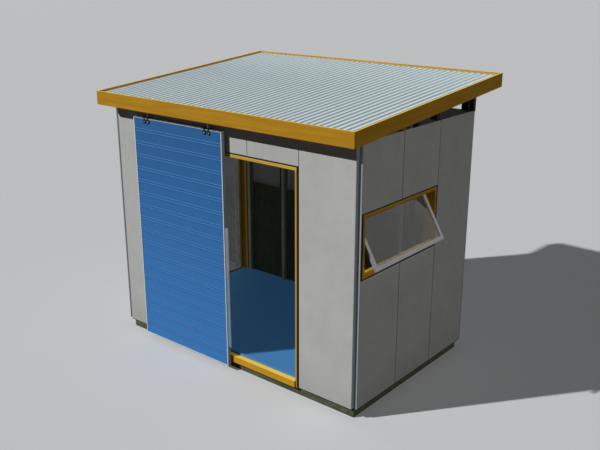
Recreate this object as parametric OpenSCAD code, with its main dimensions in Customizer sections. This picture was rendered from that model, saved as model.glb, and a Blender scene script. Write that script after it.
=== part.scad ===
// Timber-framed workshop shed with a skillion roof, panel cladding, a sliding door,
// a pivoting window and a full-height fixed light. Millimetres; +Z up.
// The origin lies on the ground, at the centre of the base frame.
// +X runs to the right along the door side, and +Y runs from the door side to the back.

/* [Plan] */
// Width of one cladding panel, which is one bay of the wall
module_w = 600; // [450:10:750]
// Bays along the front and the back
front_bays = 5; // [5:1:7]
// Bays along each side
side_bays = 3; // [3:1:5]
// Height of the cladding panels
panel_h = 2400; // [2400:10:2880]

/* [Base and floor] */
// Height of the ground bearers
bearer_h = 100; // [70:5:150]
// Width of the ground bearers
bearer_w = 90; // [60:5:120]
// Depth of the floor joists
joist_h = 60; // [50:5:90]
// Thickness of the floor sheet
floor_t = 20; // [15:1:25]

/* [Wall frame] */
// Face width of studs, plates and joists
stud_w = 45; // [35:1:60]
// Depth of the wall frame
stud_d = 70; // [60:1:110]
// Thickness of the cavity battens outside the frame
batten_t = 21; // [15:1:30]
// Thickness of the cladding panels
panel_t = 18; // [12:1:24]
// Width of the joint between two panels
joint_w = 6; // [4:1:12]
// Depth that a joint strip stays back from the panel faces
joint_recess = 2; // [1:0.5:4]
// Height of the lining sheets on the back wall
lining_h = 1140; // [600:5:1600]
// Thickness of the lining sheets
lining_t = 9; // [6:1:15]
// Depth of stud left showing in front of the lining sheets
lining_set = 41; // [20:1:50]
// Distance of the first stud of the back wall from the left wall
end_stud_in = 40; // [20:5:100]
// Sheet thickness of the corner flashings
flashing_t = 2; // [1:0.5:3]

/* [Frames round the openings] */
// Face width of the door, window and fixed-light frames
frame_w = 28; // [24:1:45]
// Dark gap between a frame and the panels beside it
frame_gap = 15; // [10:1:20]
// Height of the panels over the doorway
transom_h = 289; // [250:1:400]
// How far the door sill stands out from the face of the panels
sill_proud = 14; // [6:1:20]
// Height of the top of the door sill above the ground
sill_top_z = 158; // [130:2:170]
// Height of the underside of the door sill above the ground
sill_low_z = 92; // [60:2:96]
// Bay in which the doorway starts, counted from zero at the left
door_bay = 2; // [1:1:3]
// Bays that the doorway takes up
door_bays = 2; // [1:1:2]
// Depth of the headers over the openings
header_h = 90; // [70:5:140]

/* [Window] */
// Underside of the window opening in the panels
window_z0 = 1308; // [900:2:1400]
// Top of the window opening in the panels
window_z1 = 1902; // [1700:2:2100]
// Bays that the window takes up, from the front corner
window_bays = 2; // [1:1:2]
// Gap between the window frame and the front corner of the wall frame
window_in = 25; // [15:1:40]
// Height of the bottom rail of the window frame
window_sill_h = 52; // [30:1:80]
// Angle at which the pivoting sash stands open
sash_angle = 30; // [0:1:45]
// Distance of the middle of the sash behind the face of the panels
sash_set = 4; // [0:1:20]
// Thickness of the sash
sash_t = 22; // [16:1:36]
// Face width of the sash stiles
sash_stile_w = 38; // [30:1:60]
// Face width of the bottom rail of the sash
sash_rail_w = 40; // [30:1:70]
// Face width of the top rail of the sash
sash_top_w = 20; // [16:1:60]
// Gap all round the closed sash
sash_gap = 3; // [2:0.5:5]
// Thickness of the panes
glass_t = 6; // [4:1:10]
// Distance of the fixed pane inside the outer face of the wall frame
light_set = 10; // [4:1:30]

/* [Roof] */
// Fall of the roof towards the door side, in degrees
roof_slope = 4.7; // [2:0.1:8]
// Rafters' clearance above the front panels
eave_gap = 8; // [4:1:20]
// Overhang at the two sides, measured from the wall frame
side_overhang = 100; // [80:5:200]
// Overhang at the front
front_overhang = 210; // [190:5:400]
// Overhang at the back
back_overhang = 435; // [190:5:600]
// Depth of the rafters
rafter_d = 70; // [60:1:140]
// Depth of the purlins
purlin_d = 35; // [25:1:50]
// Number of purlins
purlins_n = 5; // [3:1:7]
// Distance between two ribs of the roof sheet
rib_pitch = 67; // [60:1:90]
// Depth of the ribs of the roof sheet
rib_h = 17; // [10:1:25]
// Thickness of the roof sheet
sheet_t = 1.2; // [0.8:0.1:2]
// Thickness of the fascia and barge boards
fascia_t = 20; // [16:1:30]
// How far the fascia boards stand above the ribs
fascia_lip = 12; // [5:1:25]

/* [Sliding door] */
// How far the closed leaf laps over each side of the door frame
leaf_lap = 27; // [10:1:40]
// How far the leaf stands open
leaf_open = 870; // [0:10:900]
// Gap between the leaf and the track
hang_gap = 55; // [30:1:90]
// Height of the underside of the leaf above the ground
leaf_z0 = 53; // [20:1:80]
// Gap between the leaf and the face of the door sill
leaf_gap = 6; // [5:1:15]
// Boards in the height of the leaf
boards_n = 18; // [12:1:24]
// Thickness of the boards without their ribs
board_t = 13; // [10:1:20]
// Height of the pair of ribs at each joint of the boards
board_rib = 3; // [1:0.5:4]
// Width of one of those ribs
board_rib_w = 10; // [9:1:20]
// Distance between the middles of the two ribs
rib_apart = 26; // [22:1:50]
// Depth of the timbers behind the boards
leaf_frame_d = 24; // [20:1:36]
// Face width of the thin metal edge of the leaf
edge_w = 10; // [6:1:16]
// Width of the closing strip on the leading edge
strip_w = 45; // [20:1:60]
// Height of the closing strip above the underside of the leaf
strip_low = 217; // [50:1:400]
// Length of the closing strip
strip_len = 1225; // [600:5:1800]

/* [Door gear] */
// Distance of each hanger from the edge of the leaf
hanger_in = 190; // [120:5:300]
// Wall of the track
track_t = 3; // [2:0.5:4]
// Radius of the trolley wheels
wheel_r = 12; // [8:0.5:16]
// Width of a trolley wheel
wheel_w = 8; // [5:1:12]
// Radius of the bolt that carries the leaf
bolt_r = 5; // [4:0.5:8]
// Radius of the round eyes on the face of the leaf
washer_r = 18; // [15:1:30]
// Distance between the middles of the two eyes of a hanger
eyes_apart = 56; // [40:2:80]
// Thickness of those eyes
washer_t = 8; // [7:1:12]

/* [Hidden] */
$fn = 48;

// Hairline between like pieces that share a node, so that each stays a solid of its own
hair = 0.5;
// Hairline where one sloping timber bears on another
bearing = 0.1;

// Plan
half_x = front_bays * module_w / 2;
half_y = side_bays * module_w / 2;
clad_t = batten_t + panel_t;
inner_x = half_x - stud_d;
inner_y = half_y - stud_d;
lining_back_y = inner_y + lining_set + lining_t;

// Heights
floor_z = bearer_h + joist_h + floor_t;
stud_z0 = floor_z + stud_w;
panel_z0 = bearer_h;
panel_z1 = bearer_h + panel_h;
transom_z0 = panel_z1 - transom_h;
head_z = transom_z0 - frame_gap;
transom_set = 5;

// Doorway, as the outside of its frame
door_x0 = -half_x + door_bay * module_w + frame_gap;
door_x1 = -half_x + (door_bay + door_bays) * module_w - frame_gap;

// Window, as the outside of its frame
win_y0 = -half_y + window_in;
win_y1 = -half_y + window_bays * module_w - frame_gap;
win_z0 = window_z0 + frame_gap;
win_z1 = window_z1 - frame_gap;
sash_h = win_z1 - win_z0 - frame_w - window_sill_h - 2 * sash_gap;
sash_len = win_y1 - win_y0 - 2 * frame_w - 2 * sash_gap;
sash_x = half_x + clad_t - sash_set;
sash_y = (win_y0 + win_y1) / 2;
sash_z = (win_z0 + window_sill_h + win_z1 - frame_w) / 2;
pivot_r = 8;

// Fixed light in the rear bay of the left wall, as the outside of its frame
light_y0 = half_y - module_w + frame_gap;
light_y1 = half_y - stud_w;

// Roof: height of the rafters' underside at a place y
eave_z = panel_z1 + eave_gap;
function under(y) = eave_z + (y + half_y) * tan(roof_slope);
roof_y0 = -half_y - front_overhang + fascia_t;
roof_y1 = half_y + back_overhang - fascia_t;
roof_x = half_x + side_overhang - fascia_t;
sheet_gap = 2;
fascia_low = 1;
fascia_up = rafter_d + purlin_d + rib_h + sheet_t + fascia_lip;
purlin_w = 70;
ribs_n = round(2 * (roof_x - sheet_gap) / rib_pitch);

// Door leaf: planes measured along y, from the wall outwards
panel_face_y = -half_y - clad_t;
sill_face_y = panel_face_y - sill_proud;
leaf_back_y = sill_face_y - leaf_gap;
board_back_y = leaf_back_y - leaf_frame_d;
board_face_y = board_back_y - board_t;
rib_face_y = board_face_y - board_rib;
leaf_w = door_x1 - door_x0 + 2 * leaf_lap;
leaf_x0 = door_x0 - leaf_lap - leaf_open;
leaf_x1 = leaf_x0 + leaf_w;
stile_w = 60;
stile_in = 25;
rail_h = 80;
strip_t = 4;

// Door gear, centred on the thickness of the leaf: track, with the wheels running in it
gear_y = (leaf_back_y + rib_face_y) / 2;
wheel_gap = 0.3;
wheel_over = 3.7;
wheel_beside = 4;
slot_play = 2;
slot_w = 2 * (bolt_r + slot_play);
track_w = slot_w + 2 * (wheel_w + wheel_beside + track_t);
track_h = 2 * (wheel_r + track_t) + wheel_gap + wheel_over;
packer_t = 5;
track_z1 = under(gear_y - track_w / 2) - packer_t;
track_z0 = track_z1 - track_h;
lip_z = track_z0 + track_t;
wheel_z = lip_z + wheel_gap + wheel_r;
wheel_x = wheel_r + 8;
axle_r = 3;
axle_play = 0.1;
axle_in = 1;

// Trolley plate between the wheels, and the strap and plate that hold the leaf
trolley_w = 2 * wheel_x + 30;
trolley_t = slot_w - 6;
trolley_up = 2;
trolley_top = wheel_z + 9;
leaf_z1 = track_z0 - hang_gap;
leaf_h = leaf_z1 - leaf_z0;
strap_t = 4;
strap_h = 80;
washer_x = eyes_apart / 2;
washer_z = leaf_z1 - washer_r - 18;
washer_bore = 0.55 * washer_r;
washer_dip = 3;
leg_w = 16;
leg_t = 3;
bar_h = 14;
bar_z = leaf_z1 - edge_w - bar_h;
hanger_w = 2 * (washer_x + washer_r) + 6;
hanger_x = [leaf_x0 + hanger_in, leaf_x1 - hanger_in];

// Travel of the leaf both ways from where it stands, with the track and its stops
corner_gap = 8;
travel_open = half_x + leaf_x0 - corner_gap;
travel_shut = leaf_open;
stop_gap = 10;
stop_len = 30;
track_spare = 15;
stop_x0 = hanger_x[0] - travel_open - trolley_w / 2 - stop_gap - stop_len;
stop_x1 = hanger_x[1] + travel_shut + trolley_w / 2 + stop_gap;
track_x0 = stop_x0 - track_spare;
track_x1 = stop_x1 + stop_len + track_spare;

// Overrun of a cutting shape past the face that it cuts
cut = 1;

// Shared shapes

// Box between two opposite corners
module slab(lo, hi) {
    translate(lo)
        cube(hi - lo);
}

// Prism along x, from x0 to x1, on an outline of [y, z] points
module along_x(x0, x1, outline) {
    translate([x0, 0, 0])
        rotate([90, 0, 90])
            linear_extrude(x1 - x0)
                polygon(outline);
}

// Upright whose top follows the slope of the roof, just under the top plate
module upright(x0, x1, y0, y1, z0) {
    low = stud_w + bearing;
    along_x(x0, x1, [[y0, z0], [y1, z0], [y1, under(y1) - low], [y0, under(y0) - low]]);
}

// Bar along x or y that lies parallel to the roof, between two heights above the rafters' underside
module raked(x0, x1, y0, y1, low, high) {
    along_x(x0, x1, [[y0, under(y0) + low], [y1, under(y1) + low],
                     [y1, under(y1) + high], [y0, under(y0) + high]]);
}

// Line between two bays of the front or back, counted from the left
function bay_x(i) = -half_x + i * module_w;

// Line between two bays of a side, counted from the front
function bay_y(i) = -half_y + i * module_w;

// Middle of a stud of the back wall, counted from the left; the last place is the corner post
function stud_x(i) = i == front_bays ? inner_x + stud_w / 2
                   : (inner_x - end_stud_in - stud_w / 2) * (2 * i / front_bays - 1);

// Edges of panel i in a row of n panels: only inner edges leave half a joint
function edge_lo(at, i) = i == 0 ? at : at + joint_w / 2;
function edge_hi(at, i, n) = i == n ? at : at - joint_w / 2;

// Panel of the front or back wall in bays i to j - 1; side is -1 for the front and 1 for the back
module front_panel(side, i, j, z0, z1) {
    y0 = side < 0 ? -half_y - clad_t : half_y + batten_t;
    slab([edge_lo(bay_x(i), i), y0, z0], [edge_hi(bay_x(j), j, front_bays), y0 + panel_t, z1]);
}

// Panel of a side wall in bay i; side is -1 for the left wall and 1 for the right wall
module side_panel(side, i, z0, z1) {
    x0 = side < 0 ? -half_x - clad_t : half_x + batten_t;
    slab([x0, edge_lo(bay_y(i), i), z0], [x0 + panel_t, edge_hi(bay_y(i + 1), i + 1, side_bays), z1]);
}

// Base and floor

module base_bearers() {
    color([0.30, 0.32, 0.24])
        for (side = [0, 1])
            mirror([0, side, 0])
                slab([-half_x, -half_y, 0], [half_x, -half_y + bearer_w, bearer_h]);
}

module cross_bearers() {
    color([0.30, 0.32, 0.24])
        for (x = [-half_x, -bearer_w / 2, half_x - bearer_w])
            slab([x, -half_y + bearer_w, 0], [x + bearer_w, half_y - bearer_w, bearer_h]);
}

module floor_joists() {
    color([0.45, 0.40, 0.28]) {
        for (y = [-half_y, half_y - stud_w])
            slab([-half_x, y, bearer_h], [half_x, y + stud_w, bearer_h + joist_h]);
        for (i = [0 : front_bays])
            let (x = min(max(bay_x(i) - stud_w / 2, -half_x), half_x - stud_w))
                slab([x, -half_y + stud_w + hair, bearer_h],
                     [x + stud_w, half_y - stud_w - hair, bearer_h + joist_h]);
    }
}

module floor_sheet() {
    color([0.25, 0.46, 0.66])
        slab([-half_x, -half_y, floor_z - floor_t], [half_x, half_y, floor_z]);
}

// Wall frame

module bottom_plates() {
    color([0.28, 0.30, 0.22]) {
        slab([-half_x, -half_y, floor_z], [door_x0, -inner_y, stud_z0]);
        slab([door_x1, -half_y, floor_z], [half_x, -inner_y, stud_z0]);
        for (i = [0 : front_bays - 1])
            slab([stud_x(i) + stud_w / 2, lining_back_y, floor_z],
                 [stud_x(i + 1) - stud_w / 2, half_y, stud_z0]);
        slab([inner_x, -inner_y + hair, floor_z], [half_x, inner_y - hair, stud_z0]);
        slab([-half_x, -inner_y + hair, floor_z], [-inner_x, light_y0, stud_z0]);
    }
}

// Studs of the front and back walls
module front_back_studs() {
    for (i = [1 : 1 : door_bay - 1])
        upright(bay_x(i) - stud_w / 2, bay_x(i) + stud_w / 2, -half_y, -inner_y, stud_z0);
    for (i = [door_bay + door_bays + 1 : 1 : front_bays - 1])
        upright(bay_x(i) - stud_w / 2, bay_x(i) + stud_w / 2, -half_y, -inner_y, stud_z0);
    upright(door_x0 - stud_w, door_x0, -half_y, -inner_y, stud_z0);
    upright(door_x1, door_x1 + stud_w, -half_y, -inner_y, stud_z0);
    for (i = [door_bay + 1 : 1 : door_bay + door_bays - 1])
        upright(bay_x(i) - stud_w / 2, bay_x(i) + stud_w / 2, -half_y, -inner_y,
                head_z + header_h);
    for (i = [0 : front_bays - 1])
        upright(stud_x(i) - stud_w / 2, stud_x(i) + stud_w / 2, inner_y, half_y, floor_z);
}

// Studs of the side walls
module side_studs() {
    for (i = [1 : 1 : window_bays - 1]) {
        upright_under_window(bay_y(i));
        upright(inner_x, half_x, bay_y(i) - stud_w / 2, bay_y(i) + stud_w / 2, win_z1 + stud_w);
    }
    upright(inner_x, half_x, win_y1, win_y1 + stud_w, stud_z0);
    for (i = [window_bays + 1 : 1 : side_bays - 1])
        upright(inner_x, half_x, bay_y(i) - stud_w / 2, bay_y(i) + stud_w / 2, stud_z0);
    for (i = [1 : 1 : side_bays - 2])
        upright(-half_x, -inner_x, bay_y(i) - stud_w / 2, bay_y(i) + stud_w / 2, stud_z0);
    upright(-half_x, -inner_x, light_y0 - stud_w, light_y0, stud_z0);
}

// Short stud below the window
module upright_under_window(y) {
    slab([inner_x, y - stud_w / 2, stud_z0], [half_x, y + stud_w / 2, win_z0 - stud_w]);
}

// Corner posts stand with their wide face to the front and back
module corner_posts() {
    for (side = [0, 1])
        mirror([side, 0, 0]) {
            upright(inner_x, half_x, -half_y, -half_y + stud_w, stud_z0);
            upright(inner_x, half_x, half_y - stud_w, half_y, floor_z);
        }
}

module wall_studs() {
    color([0.28, 0.30, 0.22]) {
        corner_posts();
        front_back_studs();
        side_studs();
    }
}

// Headers over the doorway, the window and the fixed light, and the plate below the window
module opening_headers() {
    color([0.28, 0.30, 0.22]) {
        slab([door_x0, -half_y, head_z], [door_x1, -inner_y, head_z + header_h]);
        for (z = [win_z0 - stud_w, win_z1])
            slab([inner_x, -half_y + stud_w, z], [half_x, win_y1, z + stud_w]);
        slab([-half_x, light_y0, head_z], [-inner_x, light_y1, head_z + stud_w]);
    }
}

// Top plates, with their upper face cut to the slope of the roof
module top_plates() {
    color([0.28, 0.30, 0.22]) {
        raked(-half_x, half_x, -half_y, -inner_y, -stud_w, 0);
        raked(-half_x, half_x, inner_y, half_y, -stud_w, 0);
        for (side = [0, 1])
            mirror([side, 0, 0])
                raked(inner_x, half_x, -inner_y + hair, inner_y - hair, -stud_w, 0);
    }
}

// Vertical batten on the front or back wall
module front_batten(side, x, z0, z1) {
    y0 = side < 0 ? -half_y - batten_t : half_y;
    slab([x, y0, z0], [x + stud_w, y0 + batten_t, z1]);
}

// Vertical batten on a side wall
module side_batten(side, y, z0, z1) {
    x0 = side < 0 ? -half_x - batten_t : half_x;
    slab([x0, y, z0], [x0 + batten_t, y + stud_w, z1]);
}

module wall_battens() {
    door_l = bay_x(door_bay);
    door_r = bay_x(door_bay + door_bays);
    win_far = bay_y(window_bays);
    color([0.45, 0.40, 0.28]) {
        for (side = [-1, 1])
            for (x = [-half_x, half_x - stud_w])
                front_batten(side, x, panel_z0, panel_z1);
        for (i = [1 : 1 : door_bay - 1])
            front_batten(-1, bay_x(i) - stud_w / 2, panel_z0, panel_z1);
        front_batten(-1, door_l - stud_w, panel_z0, panel_z1);
        front_batten(-1, door_r, panel_z0, panel_z1);
        for (i = [door_bay + door_bays + 1 : 1 : front_bays - 1])
            front_batten(-1, bay_x(i) - stud_w / 2, panel_z0, panel_z1);
        for (z = [transom_z0 + transom_set, panel_z1 - stud_w])
            slab([door_l + hair, -half_y - batten_t, z], [door_r - hair, -half_y, z + stud_w]);
        for (i = [1 : 1 : front_bays - 1])
            front_batten(1, bay_x(i) - stud_w / 2, panel_z0, panel_z1);
        side_batten(1, -half_y, panel_z0, window_z0);
        side_batten(1, -half_y, window_z1, panel_z1);
        for (i = [1 : 1 : window_bays - 1]) {
            side_batten(1, bay_y(i) - stud_w / 2, panel_z0, window_z0);
            side_batten(1, bay_y(i) - stud_w / 2, window_z1, panel_z1);
        }
        side_batten(1, win_far, panel_z0, panel_z1);
        for (i = [window_bays + 1 : 1 : side_bays - 1])
            side_batten(1, bay_y(i) - stud_w / 2, panel_z0, panel_z1);
        side_batten(1, half_y - stud_w, panel_z0, panel_z1);
        side_batten(-1, -half_y, panel_z0, panel_z1);
        for (i = [1 : 1 : side_bays - 2])
            side_batten(-1, bay_y(i) - stud_w / 2, panel_z0, panel_z1);
        side_batten(-1, light_y0 - frame_gap - stud_w, panel_z0, panel_z1);
        side_batten(-1, half_y - stud_w, panel_z0, panel_z1);
        slab([-half_x - batten_t, light_y0 - frame_gap + hair, transom_z0 + transom_set],
             [-half_x, half_y - stud_w - hair, transom_z0 + transom_set + stud_w]);
    }
}

// Cladding

module front_panels_left() {
    color([0.64, 0.64, 0.63])
        for (i = [0 : door_bay - 1])
            front_panel(-1, i, i + 1, panel_z0, panel_z1);
}

module front_panel_right() {
    color([0.64, 0.64, 0.63])
        for (i = [door_bay + door_bays : 1 : front_bays - 1])
            front_panel(-1, i, i + 1, panel_z0, panel_z1);
}

module transom_panels() {
    color([0.64, 0.64, 0.63])
        for (i = [door_bay : 1 : door_bay + door_bays - 1])
            front_panel(-1, i, i + 1, transom_z0, panel_z1);
}

module back_panels() {
    color([0.64, 0.64, 0.63])
        for (i = [0 : front_bays - 1])
            front_panel(1, i, i + 1, panel_z0, panel_z1);
}

module right_panels_below_window() {
    color([0.64, 0.64, 0.63])
        for (i = [0 : window_bays - 1])
            side_panel(1, i, panel_z0, window_z0);
}

module right_panels_above_window() {
    color([0.64, 0.64, 0.63])
        for (i = [0 : window_bays - 1])
            side_panel(1, i, window_z1, panel_z1);
}

module right_rear_panel() {
    color([0.64, 0.64, 0.63])
        for (i = [window_bays : side_bays - 1])
            side_panel(1, i, panel_z0, panel_z1);
}

// The last solid is the narrow panel between the fixed light and the back corner
module left_panels() {
    x0 = -half_x - clad_t;
    color([0.64, 0.64, 0.63]) {
        for (i = [0 : side_bays - 2])
            side_panel(-1, i, panel_z0, panel_z1);
        slab([x0, light_y1 + frame_gap, panel_z0], [x0 + panel_t, half_y, transom_z0 - joint_w]);
    }
}

module left_panel_over_glazing() {
    color([0.64, 0.64, 0.63])
        side_panel(-1, side_bays - 1, transom_z0, panel_z1);
}

// Strip that closes the joint between two panels of the front or back wall
module front_joint(side, x, z0, z1) {
    y0 = side < 0 ? -half_y - clad_t + joint_recess : half_y + batten_t;
    slab([x - joint_w / 2, y0, z0], [x + joint_w / 2, y0 + panel_t - joint_recess, z1]);
}

// Strip that closes the joint between two panels of a side wall
module side_joint(side, y, z0, z1) {
    x0 = side < 0 ? -half_x - clad_t + joint_recess : half_x + batten_t;
    slab([x0, y - joint_w / 2, z0], [x0 + panel_t - joint_recess, y + joint_w / 2, z1]);
}

module joint_strips() {
    door_end = door_bay + door_bays;
    color([0.45, 0.45, 0.45]) {
        for (i = [1 : 1 : front_bays - 1]) {
            front_joint(-1, bay_x(i), i < door_bay || i > door_end ? panel_z0 : transom_z0, panel_z1);
            front_joint(1, bay_x(i), panel_z0, panel_z1);
        }
        for (i = [1 : 1 : side_bays - 1]) {
            side_joint(1, bay_y(i), i < window_bays ? window_z1 : panel_z0, panel_z1);
            side_joint(-1, bay_y(i), i < side_bays - 1 ? panel_z0 : transom_z0, panel_z1);
        }
        for (i = [1 : 1 : window_bays - 1])
            side_joint(1, bay_y(i), panel_z0, window_z0);
    }
}

// Folded metal in the notch where two walls meet
module corner_flashings() {
    color([0.38, 0.42, 0.43])
        for (sx = [0, 1])
            for (sy = [0, 1])
                mirror([sx, 0, 0])
                    mirror([0, sy, 0])
                        translate([half_x, -half_y, panel_z0])
                            linear_extrude(panel_h)
                                polygon([[0, 0], [0, -clad_t], [flashing_t, -clad_t],
                                         [flashing_t, -flashing_t], [clad_t, -flashing_t],
                                         [clad_t, 0]]);
}

// Lining sheets fitted between the studs of the back wall
module back_lining() {
    color([0.20, 0.21, 0.16])
        for (i = [0 : front_bays - 1])
            slab([stud_x(i) + stud_w / 2, lining_back_y - lining_t, floor_z],
                 [stud_x(i + 1) - stud_w / 2, lining_back_y, floor_z + lining_h]);
}

// Frames round the openings

// Jambs line the whole depth of the wall, and outside the floor they run down to the sill
module door_jambs() {
    color([0.72, 0.52, 0.16])
        for (x = [door_x0, door_x1 - frame_w]) {
            slab([x, panel_face_y, sill_low_z], [x + frame_w, -half_y, head_z - frame_w]);
            slab([x, -half_y, floor_z], [x + frame_w, -inner_y, head_z - frame_w]);
        }
}

module door_head() {
    color([0.72, 0.52, 0.16])
        slab([door_x0, panel_face_y, head_z - frame_w], [door_x1, -inner_y, head_z]);
}

module door_sill() {
    color([0.85, 0.66, 0.28])
        slab([door_x0 + frame_w, sill_face_y, sill_low_z],
             [door_x1 - frame_w, -half_y, sill_top_z]);
}

// The front jamb is fixed to the corner post, so it is only as deep as the cladding.
// The inner part of the other one stands on the plate below the window.
module window_jambs() {
    low = win_z0 + window_sill_h;
    high = win_z1 - frame_w;
    color([0.72, 0.52, 0.16]) {
        slab([half_x, win_y0, low], [half_x + clad_t, win_y0 + frame_w, high]);
        slab([half_x, win_y1 - frame_w, low], [half_x + clad_t, win_y1, high]);
        slab([inner_x, win_y1 - frame_w, win_z0], [half_x, win_y1, high]);
    }
}

module window_rails() {
    color([0.72, 0.52, 0.16]) {
        slab([half_x, win_y0, win_z0], [half_x + clad_t, win_y1, win_z0 + window_sill_h]);
        slab([half_x, win_y0, win_z1 - frame_w], [half_x + clad_t, win_y1, win_z1]);
        slab([inner_x, -half_y + stud_w, win_z1 - frame_w], [half_x, win_y1, win_z1]);
    }
}

// Places a piece of the sash, drawn upright round the pivot, at its open angle
module on_sash() {
    translate([sash_x, sash_y, sash_z])
        rotate([0, -sash_angle, 0])
            children();
}

module sash_stiles() {
    color([0.85, 0.84, 0.87])
        on_sash()
            for (side = [0, 1])
                mirror([0, side, 0])
                    slab([-sash_t / 2, -sash_len / 2, -sash_h / 2],
                         [sash_t / 2, -sash_len / 2 + sash_stile_w, sash_h / 2]);
}

module sash_rails() {
    span = sash_len / 2 - sash_stile_w;
    color([0.85, 0.84, 0.87])
        on_sash()
            for (z = [[-sash_h / 2, -sash_h / 2 + sash_rail_w], [sash_h / 2 - sash_top_w, sash_h / 2]])
                slab([-sash_t / 2, -span, z[0]], [sash_t / 2, span, z[1]]);
}

module sash_glass() {
    span = sash_len / 2 - sash_stile_w;
    color([0.6, 0.62, 0.62, 0.4])
        on_sash()
            slab([-glass_t / 2, -span, -sash_h / 2 + sash_rail_w],
                 [glass_t / 2, span, sash_h / 2 - sash_top_w]);
}

// Pivot discs between the sash and the jambs
module sash_pivots() {
    color([0.5, 0.5, 0.52])
        for (y = [win_y0 + frame_w, win_y1 - frame_w - sash_gap])
            translate([sash_x, y, sash_z])
                rotate([-90, 0, 0])
                    cylinder(h = sash_gap, r = pivot_r);
}

module glazing_jambs() {
    color([0.72, 0.52, 0.16])
        for (y = [light_y0, light_y1 - frame_w])
            slab([-half_x - clad_t, y, floor_z], [-inner_x, y + frame_w, head_z - frame_w]);
}

// The bottom rail covers the edge of the floor
module glazing_rails() {
    color([0.72, 0.52, 0.16]) {
        slab([-half_x - clad_t, light_y0, sill_low_z], [-half_x, light_y1, floor_z]);
        slab([-half_x - clad_t, light_y0, head_z - frame_w], [-inner_x, light_y1, head_z]);
    }
}

module glazing_glass() {
    x0 = -half_x + light_set;
    color([0.6, 0.62, 0.62, 0.4])
        slab([x0, light_y0 + frame_w, floor_z],
             [x0 + glass_t, light_y1 - frame_w, head_z - frame_w]);
}

// Roof

module rafters() {
    color([0.45, 0.40, 0.28]) {
        for (i = [0 : front_bays])
            let (x = min(max(bay_x(i) - stud_w / 2, -half_x), half_x - stud_w))
                raked(x, x + stud_w, roof_y0, roof_y1, bearing, rafter_d);
        for (side = [0, 1])
            mirror([side, 0, 0])
                raked(roof_x - stud_w, roof_x, roof_y0, roof_y1, bearing, rafter_d);
    }
}

module purlins() {
    step = (roof_y1 - roof_y0 - purlin_w) / (purlins_n - 1);
    color([0.45, 0.40, 0.28])
        for (i = [0 : purlins_n - 1])
            let (y = roof_y0 + i * step)
                raked(-roof_x, roof_x, y, y + purlin_w, rafter_d + bearing, rafter_d + purlin_d);
}

// Corrugated sheet: one outline across the ribs, drawn out along the fall of the roof
module roof_sheet() {
    wide = 2 * (roof_x - sheet_gap);
    steps = 8;
    count = ribs_n * steps;
    function wave(i) = rib_h / 2 * (1 - cos(360 * i / steps));
    over = [for (i = [0 : count]) [-wide / 2 + wide * i / count, wave(i) + sheet_t]];
    below = [for (i = [count : -1 : 0]) [-wide / 2 + wide * i / count, wave(i)]];
    long = (roof_y1 - roof_y0 - 2 * sheet_gap - rib_h * sin(roof_slope)) / cos(roof_slope);
    y0 = roof_y0 + sheet_gap + rib_h * sin(roof_slope);
    color([0.66, 0.71, 0.74])
        translate([0, y0, under(y0) + rafter_d + purlin_d + bearing])
            rotate([90 + roof_slope, 0, 0])
                mirror([0, 0, 1])
                    linear_extrude(long)
                        polygon(concat(over, below));
}

// Level board across the front or the back end of the rafters
module eave_board(y) {
    slab([-roof_x - fascia_t, y, under(y) - fascia_low],
         [roof_x + fascia_t, y + fascia_t, under(y) + fascia_up]);
}

module front_fascia() {
    color([0.66, 0.48, 0.13])
        eave_board(roof_y0 - fascia_t);
}

module back_fascia() {
    color([0.66, 0.48, 0.13])
        eave_board(roof_y1);
}

module barge_boards() {
    color([0.66, 0.48, 0.13])
        for (side = [0, 1])
            mirror([side, 0, 0])
                raked(roof_x, roof_x + fascia_t, roof_y0, roof_y1, -fascia_low, fascia_up);
}

// Door track under the front eave

// Tapered packing between the level track and the sloping rafters
module track_packer() {
    y0 = gear_y - track_w / 2;
    y1 = gear_y + track_w / 2;
    color([0.45, 0.40, 0.28])
        along_x(track_x0, track_x1, [[y0, track_z1], [y1, track_z1], [y1, under(y1)], [y0, under(y0)]]);
}

module door_track() {
    y0 = gear_y - track_w / 2;
    y1 = gear_y + track_w / 2;
    color([0.30, 0.31, 0.32])
        difference() {
            slab([track_x0, y0, track_z0], [track_x1, y1, track_z1]);
            slab([track_x0 - cut, y0 + track_t, lip_z], [track_x1 + cut, y1 - track_t, track_z1 - track_t]);
            slab([track_x0 - cut, gear_y - slot_w / 2, track_z0 - cut],
                 [track_x1 + cut, gear_y + slot_w / 2, lip_z + cut]);
        }
}

// Rubber stops inside the two ends of the track
module track_stops() {
    y0 = gear_y - track_w / 2 + track_t;
    y1 = gear_y + track_w / 2 - track_t;
    color([0.08, 0.08, 0.08])
        for (x = [stop_x0, stop_x1])
            slab([x, y0, lip_z], [x + stop_len, y1, track_z1 - track_t]);
}

// Door leaf

// Boards with a pair of bevelled ribs at each joint
module door_boards() {
    low = leaf_z0 + edge_w;
    high = leaf_z1 - edge_w;
    pitch = leaf_h / boards_n;
    ribs = [for (i = [1 : boards_n - 1], side = [-1, 1])
                let (z = leaf_z0 + i * pitch + side * rib_apart / 2)
                    each [[board_face_y, z - board_rib_w / 2],
                          [rib_face_y, z - board_rib_w / 2 + board_rib],
                          [rib_face_y, z + board_rib_w / 2 - board_rib],
                          [board_face_y, z + board_rib_w / 2]]];
    color([0.22, 0.44, 0.67])
        along_x(leaf_x0 + edge_w, leaf_x1 - edge_w,
                concat([[board_back_y, low], [board_face_y, low]], ribs,
                       [[board_face_y, high], [board_back_y, high]]));
}

module door_side_trims() {
    color([0.74, 0.75, 0.80])
        for (x = [leaf_x0, leaf_x1 - edge_w])
            slab([x, rib_face_y, leaf_z0], [x + edge_w, leaf_back_y, leaf_z1]);
}

module door_end_trims() {
    color([0.74, 0.75, 0.80])
        for (z = [leaf_z0, leaf_z1 - edge_w])
            slab([leaf_x0 + edge_w, rib_face_y, z], [leaf_x1 - edge_w, board_back_y, z + edge_w]);
}

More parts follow.
